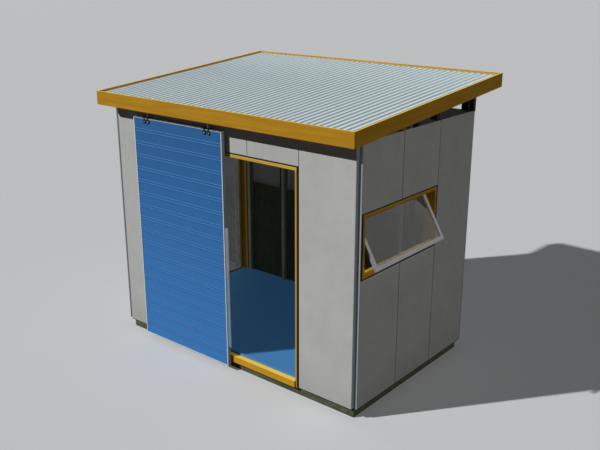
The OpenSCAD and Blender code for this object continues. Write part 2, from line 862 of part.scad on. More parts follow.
module door_stiles() {
    color([0.45, 0.40, 0.28])
        for (x = [leaf_x0 + stile_in, leaf_x1 - stile_in - stile_w])
            slab([x, board_back_y, leaf_z0 + stile_in], [x + stile_w, leaf_back_y, leaf_z1]);
}

module door_rails() {
    x0 = leaf_x0 + stile_in + stile_w;
    x1 = leaf_x1 - stile_in - stile_w;
    color([0.45, 0.40, 0.28])
        for (z = [leaf_z0 + stile_in, leaf_z0 + (leaf_h - rail_h) / 2, leaf_z1 - rail_h])
            slab([x0, board_back_y, z], [x1, leaf_back_y, z + rail_h]);
}

module door_edge_strip() {
    y0 = (rib_face_y + board_back_y - strip_t) / 2;
    z0 = leaf_z0 + strip_low;
    color([0.80, 0.82, 0.85, 0.6])
        slab([leaf_x1, y0, z0], [leaf_x1 + strip_w, y0 + strip_t, z0 + strip_len]);
}

// Hangers: strap on the back of the leaf, plate over its top, bolt and trolley in the track
module door_hangers() {
    back = leaf_back_y + strap_t;
    top = leaf_z1 + strap_t;
    color([0.07, 0.07, 0.08])
        for (x = hanger_x)
            translate([x, 0, 0])
                difference() {
                    union() {
                        slab([-hanger_w / 2, leaf_back_y, leaf_z1 - strap_h], [hanger_w / 2, back, top]);
                        slab([-hanger_w / 2, rib_face_y, leaf_z1], [hanger_w / 2, back, top]);
                        translate([0, gear_y, leaf_z1])
                            cylinder(h = wheel_z - leaf_z1, r = bolt_r);
                        slab([-trolley_w / 2, gear_y - trolley_t / 2, lip_z + trolley_up],
                             [trolley_w / 2, gear_y + trolley_t / 2, trolley_top]);
                    }
                    for (side = [-1, 1])
                        translate([side * wheel_x, gear_y, wheel_z])
                            rotate([90, 0, 0])
                                cylinder(h = track_w, r = axle_r + axle_play, center = true);
                }
}

// Wheel sets: two wheels on one axle, running on the two lips of the track
module door_rollers() {
    out = slot_w / 2;
    color([0.75, 0.76, 0.78])
        for (x = hanger_x)
            for (side = [-1, 1])
                translate([x + side * wheel_x, gear_y, wheel_z])
                    rotate([90, 0, 0]) {
                        cylinder(h = 2 * (out + axle_in), r = axle_r, center = true);
                        for (end = [-1, 1])
                            translate([0, 0, end * (out + wheel_w / 2)])
                                cylinder(h = wheel_w, r = wheel_r, center = true);
                    }
}

// Two legs of each hanger down the face of the leaf, tied by a bar; each ends in a round eye
// that is dished for its bolt
module hanger_washers() {
    color([0.07, 0.07, 0.08])
        for (x = hanger_x)
            translate([x, 0, 0])
                difference() {
                    union() {
                        slab([-washer_x, rib_face_y - leg_t, bar_z], [washer_x, rib_face_y, bar_z + bar_h]);
                        for (side = [-1, 1])
                            translate([side * washer_x, 0, 0]) {
                                translate([0, board_face_y, washer_z])
                                    rotate([90, 0, 0])
                                        cylinder(h = washer_t, r = washer_r);
                                slab([-leg_w / 2, rib_face_y - leg_t, washer_z],
                                     [leg_w / 2, rib_face_y, leaf_z1 + strap_t]);
                            }
                    }
                    for (side = [-1, 1])
                        translate([side * washer_x, board_face_y - washer_t + washer_dip, washer_z])
                            rotate([90, 0, 0])
                                cylinder(h = washer_dip + cut, r = washer_bore);
                }
}

base_bearers();
cross_bearers();
floor_joists();
floor_sheet();
bottom_plates();
wall_studs();
opening_headers();
top_plates();
wall_battens();
front_panels_left();
front_panel_right();
transom_panels();
back_panels();
right_panels_below_window();
right_panels_above_window();
right_rear_panel();
left_panels();
left_panel_over_glazing();
joint_strips();
corner_flashings();
back_lining();
door_jambs();
door_head();
door_sill();
window_jambs();
window_rails();
sash_stiles();
sash_rails();
sash_glass();
sash_pivots();
glazing_jambs();
glazing_rails();
glazing_glass();
rafters();
purlins();
roof_sheet();
front_fascia();
back_fascia();
barge_boards();
track_packer();
door_track();
track_stops();
door_boards();
door_side_trims();
door_end_trims();
door_stiles();
door_rails();
door_edge_strip();
door_hangers();
door_rollers();
hanger_washers();
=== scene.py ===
from math import cos, radians, sin, tan

import bmesh
import bpy
from mathutils import Matrix, Vector


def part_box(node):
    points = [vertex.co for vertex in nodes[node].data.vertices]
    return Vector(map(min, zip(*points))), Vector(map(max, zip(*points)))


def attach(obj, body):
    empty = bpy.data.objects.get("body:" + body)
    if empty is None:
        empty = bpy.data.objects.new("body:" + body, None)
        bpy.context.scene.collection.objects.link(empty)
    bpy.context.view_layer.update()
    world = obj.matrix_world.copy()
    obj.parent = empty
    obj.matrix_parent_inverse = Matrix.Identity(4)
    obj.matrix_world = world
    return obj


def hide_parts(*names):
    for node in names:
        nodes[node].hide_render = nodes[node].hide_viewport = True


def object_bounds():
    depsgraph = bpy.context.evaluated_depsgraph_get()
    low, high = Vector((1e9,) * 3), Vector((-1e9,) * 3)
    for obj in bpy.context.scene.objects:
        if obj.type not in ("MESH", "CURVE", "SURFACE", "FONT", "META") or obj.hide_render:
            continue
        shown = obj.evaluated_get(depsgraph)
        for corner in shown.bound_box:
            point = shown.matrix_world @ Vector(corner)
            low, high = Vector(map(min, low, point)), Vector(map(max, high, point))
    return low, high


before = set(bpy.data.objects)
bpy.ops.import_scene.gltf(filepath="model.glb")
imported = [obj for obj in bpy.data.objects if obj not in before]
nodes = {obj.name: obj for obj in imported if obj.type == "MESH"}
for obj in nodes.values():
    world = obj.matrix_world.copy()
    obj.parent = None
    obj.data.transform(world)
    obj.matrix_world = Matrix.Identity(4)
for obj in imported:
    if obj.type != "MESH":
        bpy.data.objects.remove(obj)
cad_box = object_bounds()


# ---- Ground bearers ----
# Sawn, pressure-treated softwood laid on the ground: two long bearers and three
# across. They are butted and spiked together, and weather to a dull green-grey.


class Tone:
    """A value that changes over a surface; arithmetic on it adds Math nodes."""

    def __init__(self, finish, socket):
        self.finish = finish
        self.socket = socket

    def math(self, operation, first, second=0.0):
        made = self.finish.node("ShaderNodeMath", {"operation": operation}, {0: first, 1: second})
        return Tone(self.finish, made.outputs[0])

    def __add__(self, other):
        return self.math("ADD", self, other)

    def __sub__(self, other):
        return self.math("SUBTRACT", self, other)

    def __rsub__(self, other):
        return self.math("SUBTRACT", other, self)

    def __mul__(self, other):
        return self.math("MULTIPLY", self, other)

    __radd__ = __add__
    __rmul__ = __mul__

    def top(self, other):
        return self.math("MAXIMUM", self, other)

    def size(self):
        """The same number without its sign."""
        return self.math("ABSOLUTE", self)

    def part(self):
        """What is left after the whole number."""
        return self.math("FRACT", self)

    def rise(self, low, high):
        """0 below low, 1 above high and a soft step between them."""
        made = self.finish.node("ShaderNodeMapRange", {"interpolation_type": "SMOOTHSTEP"},
                                {0: self, 1: low, 2: high, 3: 0.0, 4: 1.0})
        return Tone(self.finish, made.outputs[0])


class Finish:
    """A material and the nodes that make it, on Object coordinates."""

    def __init__(self, name, gloss=0.12, **constants):
        self.material = bpy.data.materials.new(name)
        self.material.use_nodes = True
        self.tree = self.material.node_tree
        self.surface = self.tree.nodes["Principled BSDF"]
        self.place = self.node("ShaderNodeTexCoord").outputs["Object"]
        self.set(self.surface, {"Specular IOR Level": gloss})
        self.set(self.surface, {k.replace("_", " "): v for k, v in constants.items()})

    def set(self, node, inputs):
        for key, value in inputs.items():
            if isinstance(value, Tone):
                value = value.socket
            if isinstance(value, bpy.types.NodeSocket):
                self.tree.links.new(value, node.inputs[key])
            else:
                node.inputs[key].default_value = value

    def node(self, kind, settings=None, inputs=None):
        """The one way a node is made: its type, its settings first, then its sockets."""
        made = self.tree.nodes.new(kind)
        for key, value in (settings or {}).items():
            setattr(made, key, value)
        self.set(made, inputs or {})
        return made

    def stretched(self, scale, shift=(0, 0, 0), of=None):
        made = self.node("ShaderNodeMapping", {},
                         {"Vector": of or self.place, "Scale": scale, "Location": shift})
        return made.outputs[0]

    def noise(self, scale, detail=3.0, stretch=(1, 1, 1), shift=(0, 0, 0), rough=0.5, of=None):
        made = self.node("ShaderNodeTexNoise", {},
                         {"Vector": self.stretched(stretch, shift, of), "Scale": scale,
                          "Detail": detail, "Roughness": rough})
        return Tone(self, made.outputs["Fac"])

    def board_by_board(self, apart):
        """A number for each board, and coordinates that give each its own grain."""
        board = self.node("ShaderNodeNewGeometry").outputs["Random Per Island"]
        shift = self.node("ShaderNodeVectorMath", {"operation": "SCALE"},
                          {0: apart, "Scale": board})
        moved = self.node("ShaderNodeVectorMath", {"operation": "ADD"},
                          {0: self.place, 1: shift.outputs[0]})
        return Tone(self, board), moved.outputs[0]

    def axis(self, index):
        made = self.node("ShaderNodeSeparateXYZ", {}, {0: self.place})
        return Tone(self, made.outputs[index])

    def facing(self, index):
        """How far the surface faces along an axis, -1 to 1."""
        normal = self.node("ShaderNodeNewGeometry").outputs["Normal"]
        made = self.node("ShaderNodeSeparateXYZ", {}, {0: normal})
        return Tone(self, made.outputs[index])

    def mix(self, factor, first, second, how="MIX"):
        made = self.node("ShaderNodeMix", {"data_type": "RGBA", "blend_type": how},
                         {0: factor, 6: first, 7: second})
        return made.outputs[2]

    def bump(self, height, distance, strength=1.0):
        made = self.node("ShaderNodeBump", {},
                         {"Height": height, "Distance": distance, "Strength": strength})
        self.set(self.surface, {"Normal": made.outputs[0]})

    def finish(self, colour, roughness=None):
        self.set(self.surface, {"Base Color": colour})
        if roughness is not None:
            self.set(self.surface, {"Roughness": roughness})
        return self.material


def paint(red, green, blue):
    """A colour as a paint chart gives it, 0 to 255, as the shader needs it."""
    levels = [c / 255 for c in (red, green, blue)]
    return (*(c / 12.92 if c <= 0.04045 else ((c + 0.055) / 1.055) ** 2.4 for c in levels), 1.0)


cladding_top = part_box("back_panels")[1][2]


def timber(name, along, pale, deep, roughness=0.75, relief=0.0006, ground=None, sides=None):
    """Timber with its grain along one axis. With sides, its broad sides take that colour as
    painted shade, and all of it above the cladding is painted black as painted shade."""
    finish = Finish(name)
    _, place = finish.board_by_board((13.0, 7.0, 5.0))
    lengthways = [1.0, 1.0, 1.0]
    lengthways[along] = 0.07
    slow = [1.0, 1.0, 1.0]
    slow[along] = 0.12
    fibre = finish.noise(230, 4, lengthways, rough=0.6, of=place)
    growth = (finish.noise(9, 2, slow, of=place) * 9).part()
    bands = growth.rise(0.0, 0.75) * (1 - growth.rise(0.8, 1.0))
    patch = finish.noise(2.2, 2, slow, of=place)
    tone = 0.45 * fibre + 0.3 * bands + 0.35 * patch
    colour = finish.mix(tone.rise(0.22, 0.9), deep, pale)
    if sides is not None:
        # Painted shade: broad sides facing along X are darkened, and above the cladding all is black.
        colour = finish.mix(finish.facing(0).size().rise(0.5, 0.9), colour, sides)
        above = finish.axis(2).rise(cladding_top - 0.01, cladding_top + 0.01)
        colour = finish.mix(above, colour, paint(22, 22, 19))
    if ground is not None:
        wet = (1 - finish.axis(2).rise(0.0, ground)) * finish.noise(14, 3).rise(0.3, 0.7)
        colour = finish.mix(wet * 0.55, colour, paint(44, 46, 36))
    finish.bump(fibre * 0.6 + bands * 0.4, relief)
    return finish.finish(colour, roughness - 0.15 * fibre + 0.05)


def show(name, mesh, material, body, slot, *stands_for):
    """Puts a finished mesh in the scene as a piece that rides on a body."""
    piece = bpy.data.objects.new(name, mesh)
    bpy.context.scene.collection.objects.link(piece)
    mesh.materials.clear()
    mesh.materials.append(material)
    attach(piece, body)
    if stands_for:
        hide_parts(*stands_for)
    return piece


def whole(work, name, smooth=None):
    """Ends a bmesh as a mesh; edges flatter than smooth, in degrees, are shaded round."""
    mesh = bpy.data.meshes.new(name)
    work.to_mesh(mesh)
    work.free()
    if smooth is not None:
        mesh.polygons.foreach_set("use_smooth", [True] * len(mesh.polygons))
        mesh.set_sharp_from_angle(angle=radians(smooth))
    return mesh


def eased(node, width, steps=2, smooth=None, corner=30):
    """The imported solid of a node, merged, with its arrises taken off by a small round."""
    work = bmesh.new()
    work.from_mesh(nodes[node].data)
    bmesh.ops.remove_doubles(work, verts=work.verts, dist=1e-6)
    bmesh.ops.dissolve_limit(work, angle_limit=radians(0.5), verts=work.verts, edges=work.edges)
    if width:
        sharp = [e for e in work.edges if e.calc_face_angle(0.0) > radians(corner)]
        bmesh.ops.bevel(work, geom=sharp, offset=width, offset_type="OFFSET", segments=steps,
                        profile=0.5, affect="EDGES", material=-1, clamp_overlap=True)
    return whole(work, node, smooth)


def stand_in(node, width, material, slot, body="shed", **how):
    """A node's eased copy takes its place."""
    return show(node + "_eased", eased(node, width, **how), material, body, slot, node)


weathered = {"pale": paint(100, 105, 86), "deep": paint(72, 77, 60), "ground": 0.05}
stand_in("base_bearers", 0.003, timber("Treated timber, long", 0, **weathered), "treated_timber")
stand_in("cross_bearers", 0.003, timber("Treated timber, across", 1, **weathered), "treated_timber")


# ---- Floor ----
# Planed pine joists on the bearers, and a plywood deck screwed to them. The deck
# has a worn coat of blue floor paint, rubbed paler along the way in.

pine = {"pale": paint(186, 158, 112), "deep": paint(140, 112, 72)}
stand_in("floor_joists", 0.002, timber("Pine, joists", 1, **pine), "pine")

finish = Finish("Blue floor paint")
cloud = finish.noise(1.7, 3)
fine = finish.noise(60, 3)
scuff = finish.noise(7, 5, (1.0, 0.35, 1.0), rough=0.65).rise(0.56, 0.72)
way_in = (1 - finish.axis(1).rise(-0.9, 0.2)) * finish.axis(0).rise(-0.5, 0.1)
colour = finish.mix(0.55 * cloud + 0.25 * fine, paint(66, 126, 182), paint(78, 140, 196))
colour = finish.mix(scuff * (0.12 + 0.28 * way_in), colour, paint(128, 160, 190))
finish.bump(fine * 0.5 + scuff * 0.3, 0.0004)
stand_in("floor_sheet", 0.0015, finish.finish(colour, 0.52 + 0.2 * scuff), "floor_paint")


# ---- Wall frame ----
# Treated studs, plates and headers, planed and nailed together. Their broad sides are
# painted darker than their edges as painted shade, and all above the cladding is painted
# black as painted shade. The top plates are planed to the slope of the roof.

# The sides colour is painted shade for the broad sides.
planed = {"pale": paint(200, 203, 172), "deep": paint(172, 175, 146), "roughness": 0.7,
          "sides": paint(58, 61, 50)}
upright = timber("Treated frame, upright", 2, **planed)
level = timber("Treated frame, level", 0, **planed)
rearward = timber("Treated frame, front to back", 1, **planed)
stand_in("wall_studs", 0.002, upright, "treated_timber")
stand_in("bottom_plates", 0.002, level, "treated_timber")
stand_in("top_plates", 0.002, level, "treated_timber")
stand_in("opening_headers", 0.002, rearward, "treated_timber")
# The battens are stained black, which also stands in as painted shade in the gaps round the frames.
black_battens_for_shade = timber("Black stained battens, painted shade", 2, paint(46, 44, 34), paint(28, 27, 20))
stand_in("wall_battens", 0.0015, black_battens_for_shade, "dark_timber")


# ---- Cladding ----
# Full-height panels of compressed fibre cement, sealed grey on site with a roller.
# The face keeps a faint cloudiness and the fine stipple of the roller. The screws are
# filled and painted over.


def cement(name, pale, deep, seed):
    finish = Finish(name)
    panel = finish.node("ShaderNodeNewGeometry").outputs["Random Per Island"]
    cloud = finish.noise(2.3, 4, shift=(seed, 0, 0), rough=0.55)
    mottle = finish.noise(11, 4, shift=(0, seed, 0), rough=0.6)
    stipple = finish.noise(420, 2)
    runs = finish.noise(26, 3, (1.0, 1.0, 0.05), rough=0.6)
    height = finish.axis(2)
    tone = 0.45 * cloud + 0.3 * mottle + 0.1 * stipple + 0.12 * Tone(finish, panel)
    colour = finish.mix(tone.rise(0.25, 0.75), deep, pale)
    splash = (1 - height.rise(0.1, 0.42)) * (0.35 + 0.65 * mottle.rise(0.35, 0.65))
    colour = finish.mix(splash * 0.28, colour, paint(120, 116, 106))
    drips = runs.rise(0.55, 0.75) * height.rise(1.2, 2.5)
    colour = finish.mix(drips * 0.10, colour, paint(128, 130, 128))
    finish.bump(0.4 * stipple + 0.6 * mottle, 0.00045)
    return finish.finish(colour, 0.82 - 0.1 * mottle)


sealed = cement("Fibre cement, sealed grey", paint(190, 190, 187), paint(175, 175, 172), 3.0)
panels = ("front_panels_left", "front_panel_right", "transom_panels", "back_panels",
          "right_panels_below_window", "right_panels_above_window", "right_rear_panel",
          "left_panels", "left_panel_over_glazing")
for node in panels:
    stand_in(node, 0.0015, sealed, "wall_panel")


def solids(node):
    """The lowest and highest corners of each separate solid that a node holds."""
    work = bmesh.new()
    work.from_mesh(nodes[node].data)
    bmesh.ops.remove_doubles(work, verts=work.verts, dist=1e-6)
    boxes, left = [], set(work.verts)
    while left:
        reached = [left.pop()]
        for vert in reached:
            for edge in vert.link_edges:
                other = edge.other_vert(vert)
                if other in left:
                    left.remove(other)
                    reached.append(other)
        places = list(zip(*(vert.co for vert in reached)))
        boxes.append((tuple(map(min, places)), tuple(map(max, places))))
    work.free()
    return sorted(boxes)


def head(work, at, out, radius, height, sides=8, crown=0.6):
    """A fixing's head at a point on a face, standing out from it and narrowing to its crown."""
    turn = Vector(out).to_track_quat("Z", "Y").to_matrix().to_4x4()
    seat = Matrix.Translation(at) @ turn @ Matrix.Translation((0, 0, height / 2))
    bmesh.ops.create_cone(work, cap_ends=True, segments=sides, radius1=radius,
                          radius2=radius * crown, depth=height, matrix=seat)


# A row of screws runs down both edges of each panel. A narrow filler has none.
edge_in, end_in, screw_pitch, sunk, narrow = 0.021, 0.05, 0.39, 0.0004, 0.1
work = bmesh.new()
for low, high in (box for node in panels for box in solids(node)):
    across = 0 if high[0] - low[0] < high[1] - low[1] else 1
    along = 1 - across
    if high[along] - low[along] < narrow:
        continue
    outward = 1 if low[across] > 0 else -1
    face = high[across] if outward > 0 else low[across]
    reach = high[2] - low[2] - 2 * end_in
    count = max(1, round(reach / screw_pitch))
    for step in range(count + 1):
        for place in (low[along] + edge_in, high[along] - edge_in):
            at, out = [0, 0, low[2] + end_in + reach * step / count], [0, 0, 0]
            at[along], at[across] = place, face - sunk * outward
            out[across] = outward
            head(work, at, out, 0.0042, 0.0011)
finish = Finish("Filled screws")
smear = finish.noise(300, 2)
filled = finish.finish(finish.mix(smear, paint(172, 172, 169), paint(184, 184, 181)), 0.75)
show("panel_screws", whole(work, "panel_screws"), filled, "shed", "wall_panel")


def bar(work, one, other):
    """A square-cut length between two opposite corners."""
    low, high = (Vector([pick(pair) for pair in zip(one, other)]) for pick in (min, max))
    bmesh.ops.create_cube(work, size=1.0, matrix=Matrix.Translation((low + high) / 2)
                          @ Matrix.Diagonal((*(high - low), 1.0)))


# A black rubber strip closes the foot of the panels and the underside of the door sill; its black is
# painted shade for the shadow line there.
panel_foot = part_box("back_panels")[0][2]
left_side = solids("left_panels")
shy = 0.001
work = bmesh.new()
for across, (low, high) in (
    (1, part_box("front_panels_left")), (1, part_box("front_panel_right")), (1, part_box("back_panels")),
    (0, (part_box("right_panels_below_window")[0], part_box("right_rear_panel")[1])),
    (0, (left_side[0][0], left_side[1][1])),
):
    low, high = list(low), list(high)
    low[across], high[across] = low[across] + shy, high[across] - shy
    low[2], high[2] = panel_foot - 0.007, panel_foot - 0.0001
    bar(work, low, high)
low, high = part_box("door_sill")
bar(work, (low[0], low[1] + 0.002, low[2] - 0.007), (high[0], high[1] - 0.002, low[2] - 0.0002))
finish = Finish("Black rubber, painted shade", Roughness=0.8)
bloom = finish.noise(60, 3)
finish.bump(bloom, 0.0002)
rubber = finish.finish(finish.mix(bloom, paint(30, 31, 24), paint(46, 47, 38)))
show("foot_shade_strips", whole(work, "foot_shade_strips"), rubber, "shed", "stop_rubber")


# ---- Joints and corners ----
# A rigid plastic strip closes each joint between panels, a little below the face.
# The corners are folded from galvanised sheet and go on before the panels.

finish = Finish("Joint strip", Roughness=0.6)
dust = finish.noise(30, 4, (1.0, 1.0, 0.2))
finish.bump(dust, 0.0002)
strip = finish.finish(finish.mix(dust, paint(66, 66, 64), paint(88, 88, 86)))


def coat(node, material):
    """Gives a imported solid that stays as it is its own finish."""
    nodes[node].data.materials.clear()
    nodes[node].data.materials.append(material)


coat("joint_strips", strip)

finish = Finish("Galvanised corner", 0.35, Metallic=0.1)
spangle = finish.node("ShaderNodeTexVoronoi", {"feature": "F1"},
                      {"Vector": finish.place, "Scale": 160.0})
grain = Tone(finish, spangle.outputs["Distance"])
streak = finish.noise(40, 3, (1.0, 1.0, 0.04))
colour = finish.mix(0.5 * grain + 0.5 * streak, paint(138, 147, 154), paint(168, 176, 180))
finish.bump(streak, 0.0002)
galvanised = finish.finish(colour, 0.42 + 0.2 * streak)
stand_in("corner_flashings", 0.0003, galvanised, "flashing", steps=1)

# Each flashing has a folded lip against the end of the side panels. The right front one is
# shorter than the others.
front_face, side_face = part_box("back_panels")[1][1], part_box("right_rear_panel")[1][0]
side_end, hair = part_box("right_rear_panel")[1][1], 0.0005
work = bmesh.new()
for side, end, behind, thick, reach in ((-1, -1, 0, 0.008, 0.0315), (-1, 1, 0, 0.008, 0.0255),
                                        (1, -1, hair, 0.0115, 0.0085), (1, 1, 0, 0.008, 0.0255)):
    outer = side_face - behind
    bar(work, (side * outer, end * (side_end + hair), panel_foot),
        (side * (outer - thick), end * (side_end + hair + reach), cladding_top))
show("corner_lips", whole(work, "corner_lips"), galvanised, "shed", "flashing")

# Short treated blocks fill the rear corners between the panels and the rafters. They are drawn dark,
# painted shade for the shade under the roof.
work = bmesh.new()
for side in (-1, 1):
    bar(work, (side * side_face, side_end + hair, cladding_top + hair),
        (side * (side_face - 0.099), front_face - hair, cladding_top + 0.152))
blocks = timber("Treated blocks, painted shade", 2, paint(64, 66, 56), paint(50, 52, 43))
show("corner_blocks", whole(work, "corner_blocks"), blocks, "shed", "treated_timber")


# ---- Lining ----
# Dark-stained plywood let in between the studs of the back wall, up to the height
# of a workbench.

dark = timber("Dark stained lining", 2, paint(104, 105, 82), paint(80, 81, 62), roughness=0.7,
              relief=0.0003)
stand_in("back_lining", 0.001, dark, "lining")


# ---- Frames round the openings ----
# Planed hardwood, stained ochre: jambs between head and sill at the doorway, and the
# same section round the window and the fixed light. The sill is rubbed paler. Every
# upward face is painted paler, a painted highlight.


def stained(name, along, pale, deep, rub=0.0):
    finish = Finish(name, 0.06)
    board, place = finish.board_by_board((11.0, 3.0, 17.0))
    lengthways = [1.0, 1.0, 1.0]
    lengthways[along] = 0.05
    fibre = finish.noise(170, 4, lengthways, rough=0.62, of=place)
    growth = (finish.noise(7, 2, lengthways, of=place) * 7).part()
    bands = growth.rise(0.1, 0.8) * (1 - growth.rise(0.85, 1.0))
    patch = finish.noise(3, 2, of=place)
    tone = 0.4 * fibre + 0.25 * bands + 0.35 * patch
    colour = finish.mix(tone.rise(0.25, 0.8), deep, pale)
    colour = finish.mix(board * 0.25, colour, pale)
    # Painted highlight: upward faces are painted paler, as if lit from above.
    painted_top_light = finish.facing(2).rise(0.4, 0.9) * (0.8 + 0.2 * fibre)
    colour = finish.mix(painted_top_light, colour, paint(250, 212, 100))
    if rub:
        worn = finish.noise(24, 4, lengthways).rise(0.42, 0.7)
        colour = finish.mix(worn * rub, colour, paint(236, 206, 140))
    finish.bump(fibre * 0.7 + bands * 0.3, 0.0003)
    return finish.finish(colour, 0.66 - 0.12 * fibre)


ochre = {"pale": paint(189, 140, 38), "deep": paint(171, 124, 27)}
frame_upright = stained("Ochre frame, upright", 2, **ochre)
frame_level = stained("Ochre frame, level", 0, **ochre)
frame_rearward = stained("Ochre frame, front to back", 1, **ochre)
handled = {"pale": paint(194, 152, 76), "deep": paint(176, 136, 62)}
stand_in("door_jambs", 0.002, stained("Ochre jamb, handled", 2, **handled), "ochre_timber")
sunlit = stained("Ochre head, bleached", 0, paint(212, 168, 72), paint(194, 150, 56))
stand_in("door_head", 0.002, sunlit, "ochre_timber")
stand_in("window_jambs", 0.002, frame_upright, "ochre_timber")
stand_in("window_rails", 0.002, frame_rearward, "ochre_timber")
stand_in("glazing_jambs", 0.002, frame_upright, "ochre_timber")
stand_in("glazing_rails", 0.002, frame_rearward, "ochre_timber")
worn_sill = stained("Ochre sill, rubbed", 0, paint(208, 154, 30), paint(194, 140, 20), rub=0.12)
stand_in("door_sill", 0.003, worn_sill, "ochre_timber")


def tape_round(work, across, face, around, hole, end_top=None):
    """Tape between a frame and the hole for it in the panels of one wall, each given as its
    start, end, foot and top. A frame without a foot has none below; end_top is a lower top
    for the length at its end."""
    start, end, foot, top = around
    near, far, bottom, over = hole
    if foot:
        bottom += hair
    lengths = [(end + hair, far - hair, bottom, (end_top or over) - hair),
               (near + hair, start - hair, bottom, over - hair),
               (start - hair, end + hair, top + hair, over - hair)]
    if foot:
        lengths.append((start - hair, end + hair, bottom, foot - hair))
    inward = -1 if face > 0 else 1
    shy, deep = 0.003, 0.017
    for first, last, low, high in lengths:
        one, other = [0, 0, low], [0, 0, high]
        one[1 - across], one[across] = first, face + shy * inward
        other[1 - across], other[across] = last, face + deep * inward
        bar(work, one, other)


# Black foam tape fills the gap between each frame and the panels round it, and laps
# over the edge of the closing jamb. Its black is painted shade for the shade in those gaps.
work = bmesh.new()
frame_low, frame_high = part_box("door_head")
near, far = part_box("front_panels_left")[1][0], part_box("front_panel_right")[0][0]
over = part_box("transom_panels")[0][2]
tape_round(work, 1, -front_face, (frame_low[0], frame_high[0], None, frame_high[2]),
           (near, far, panel_foot, over))
bar(work, (frame_high[0] - 0.008, -front_face - 0.0012, panel_foot),
    (far - 0.001, -front_face + 0.0028, over - 0.001))

frame_low, frame_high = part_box("window_rails")
below_low, below_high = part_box("right_panels_below_window")
tape_round(work, 0, side_face, (frame_low[1], frame_high[1], frame_low[2], frame_high[2]),
           (below_low[1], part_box("right_rear_panel")[0][1], below_high[2],
            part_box("right_panels_above_window")[0][2]))

frame_low, frame_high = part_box("glazing_rails")
beside, filler = left_side[1], left_side[2]
tape_round(work, 0, -side_face, (frame_low[1], frame_high[1], None, frame_high[2]),
           (beside[1][1], filler[0][1], panel_foot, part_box("left_panel_over_glazing")[0][2]),
           end_top=filler[1][2])
finish = Finish("Foam tape, painted shade", Roughness=0.9)
cells = finish.noise(500, 2)
finish.bump(cells, 0.0003)
tape = finish.finish(finish.mix(cells, paint(26, 20, 10), paint(42, 34, 20)))
show("frame_shade_tapes", whole(work, "frame_shade_tapes"), tape, "shed", "stop_rubber")


# ---- Window sash and glass ----
# A lilac-grey painted timber sash, with painted shade on its front side edge, turns on two
# discs at half its height; a full-height fixed light stands in the left wall. The sash
# has clear float glass and the fixed light coated grey glass, both a little dusty.

finish = Finish("Sash paint", Coat_Weight=0.2, Coat_Roughness=0.3)
brush = finish.noise(90, 3, (1.0, 0.06, 1.0), rough=0.6)
cloud = finish.noise(5, 3)
colour = finish.mix(0.5 * brush + 0.5 * cloud, paint(218, 216, 224), paint(236, 235, 241))
# Painted shade: the front side edge of the sash is painted darker.
edge = (finish.facing(1) * -1).rise(0.6, 0.9) * (1 - finish.axis(1).rise(-0.84, -0.82))
colour = finish.mix(edge, colour, finish.mix(brush, paint(128, 124, 130), paint(146, 142, 148)))
finish.bump(brush, 0.0002)
sash_paint = finish.finish(colour, 0.45 + 0.15 * brush)
stand_in("sash_stiles", 0.002, sash_paint, "sash_paint")
stand_in("sash_rails", 0.002, sash_paint, "sash_paint")

finish = Finish("Pivot metal", Metallic=0.9)
turned = finish.noise(300, 2, (1.0, 0.1, 1.0))
pivot = finish.finish(finish.mix(turned, paint(120, 122, 126), paint(160, 162, 166)),
                      0.3 + 0.2 * turned)
coat("sash_pivots", pivot)


def pane(node, name, clean, dusty, gloss, **coating):
    finish = Finish(name, gloss, IOR=1.5, **coating)
    dust = finish.noise(3.5, 4, rough=0.6).rise(0.3, 0.8)
    coat(node, finish.finish(finish.mix(dust, clean, dusty), 0.01 + 0.03 * dust))


pane("sash_glass", "Clear pane", paint(200, 200, 190), paint(188, 187, 176), 0.05,
     Transmission_Weight=0.95)
pane("glazing_glass", "Grey pane", paint(102, 104, 103), paint(110, 112, 110), 0.5,
     Transmission_Weight=1.0, Coat_Weight=1.0, Coat_IOR=2.2, Coat_Roughness=0.02)

# Putty beads hold the fixed light, inside and out.
bead, bedding = 0.011, 0.0002
(outside, front, foot), (inside, back, top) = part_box("glazing_glass")
foot += bedding
work = bmesh.new()
for side, near in ((1, inside + bedding), (-1, outside - bedding)):
    far = near + side * bead
    for start, end in ((front, front + bead), (back - bead, back)):
        bar(work, (near, start, foot), (far, end, top))
    for low, high in ((foot, foot + bead), (top - bead, top)):
        bar(work, (near, front + bead, low), (far, back - bead, high))
finish = Finish("Putty", Roughness=0.8)
thumbed = finish.noise(70, 4)
finish.bump(thumbed, 0.0006)
# The beads are tinted brown, darker than bare putty, as painted shade in the rebate.
shade_brown_putty = finish.finish(finish.mix(thumbed, paint(88, 80, 60), paint(108, 98, 76)))
show("glazing_beads", whole(work, "glazing_beads"), shade_brown_putty, "shed", None)


# ---- Roof ----
# Rafters with purlins laid flat over them, and one skin of corrugated steel screwed
# through the ribs. The sheet is painted with light and shade in stripes along the ribs,
# the painted shade strongest at the front and on the right, with faint runs down it.

stand_in("rafters", 0.002, timber("Pine, rafters", 1, **pine), "pine")
stand_in("purlins", 0.002, timber("Pine, purlins", 0, **pine), "pine")

finish = Finish("Coated roof steel", 0.3)
runs = finish.noise(16, 4, (1.0, 0.05, 1.0), rough=0.6)
cloud = finish.noise(1.2, 3)
speck = finish.noise(240, 2)
sheet_edge, ribs = 1.578, 47
rib = 2 * sheet_edge / ribs
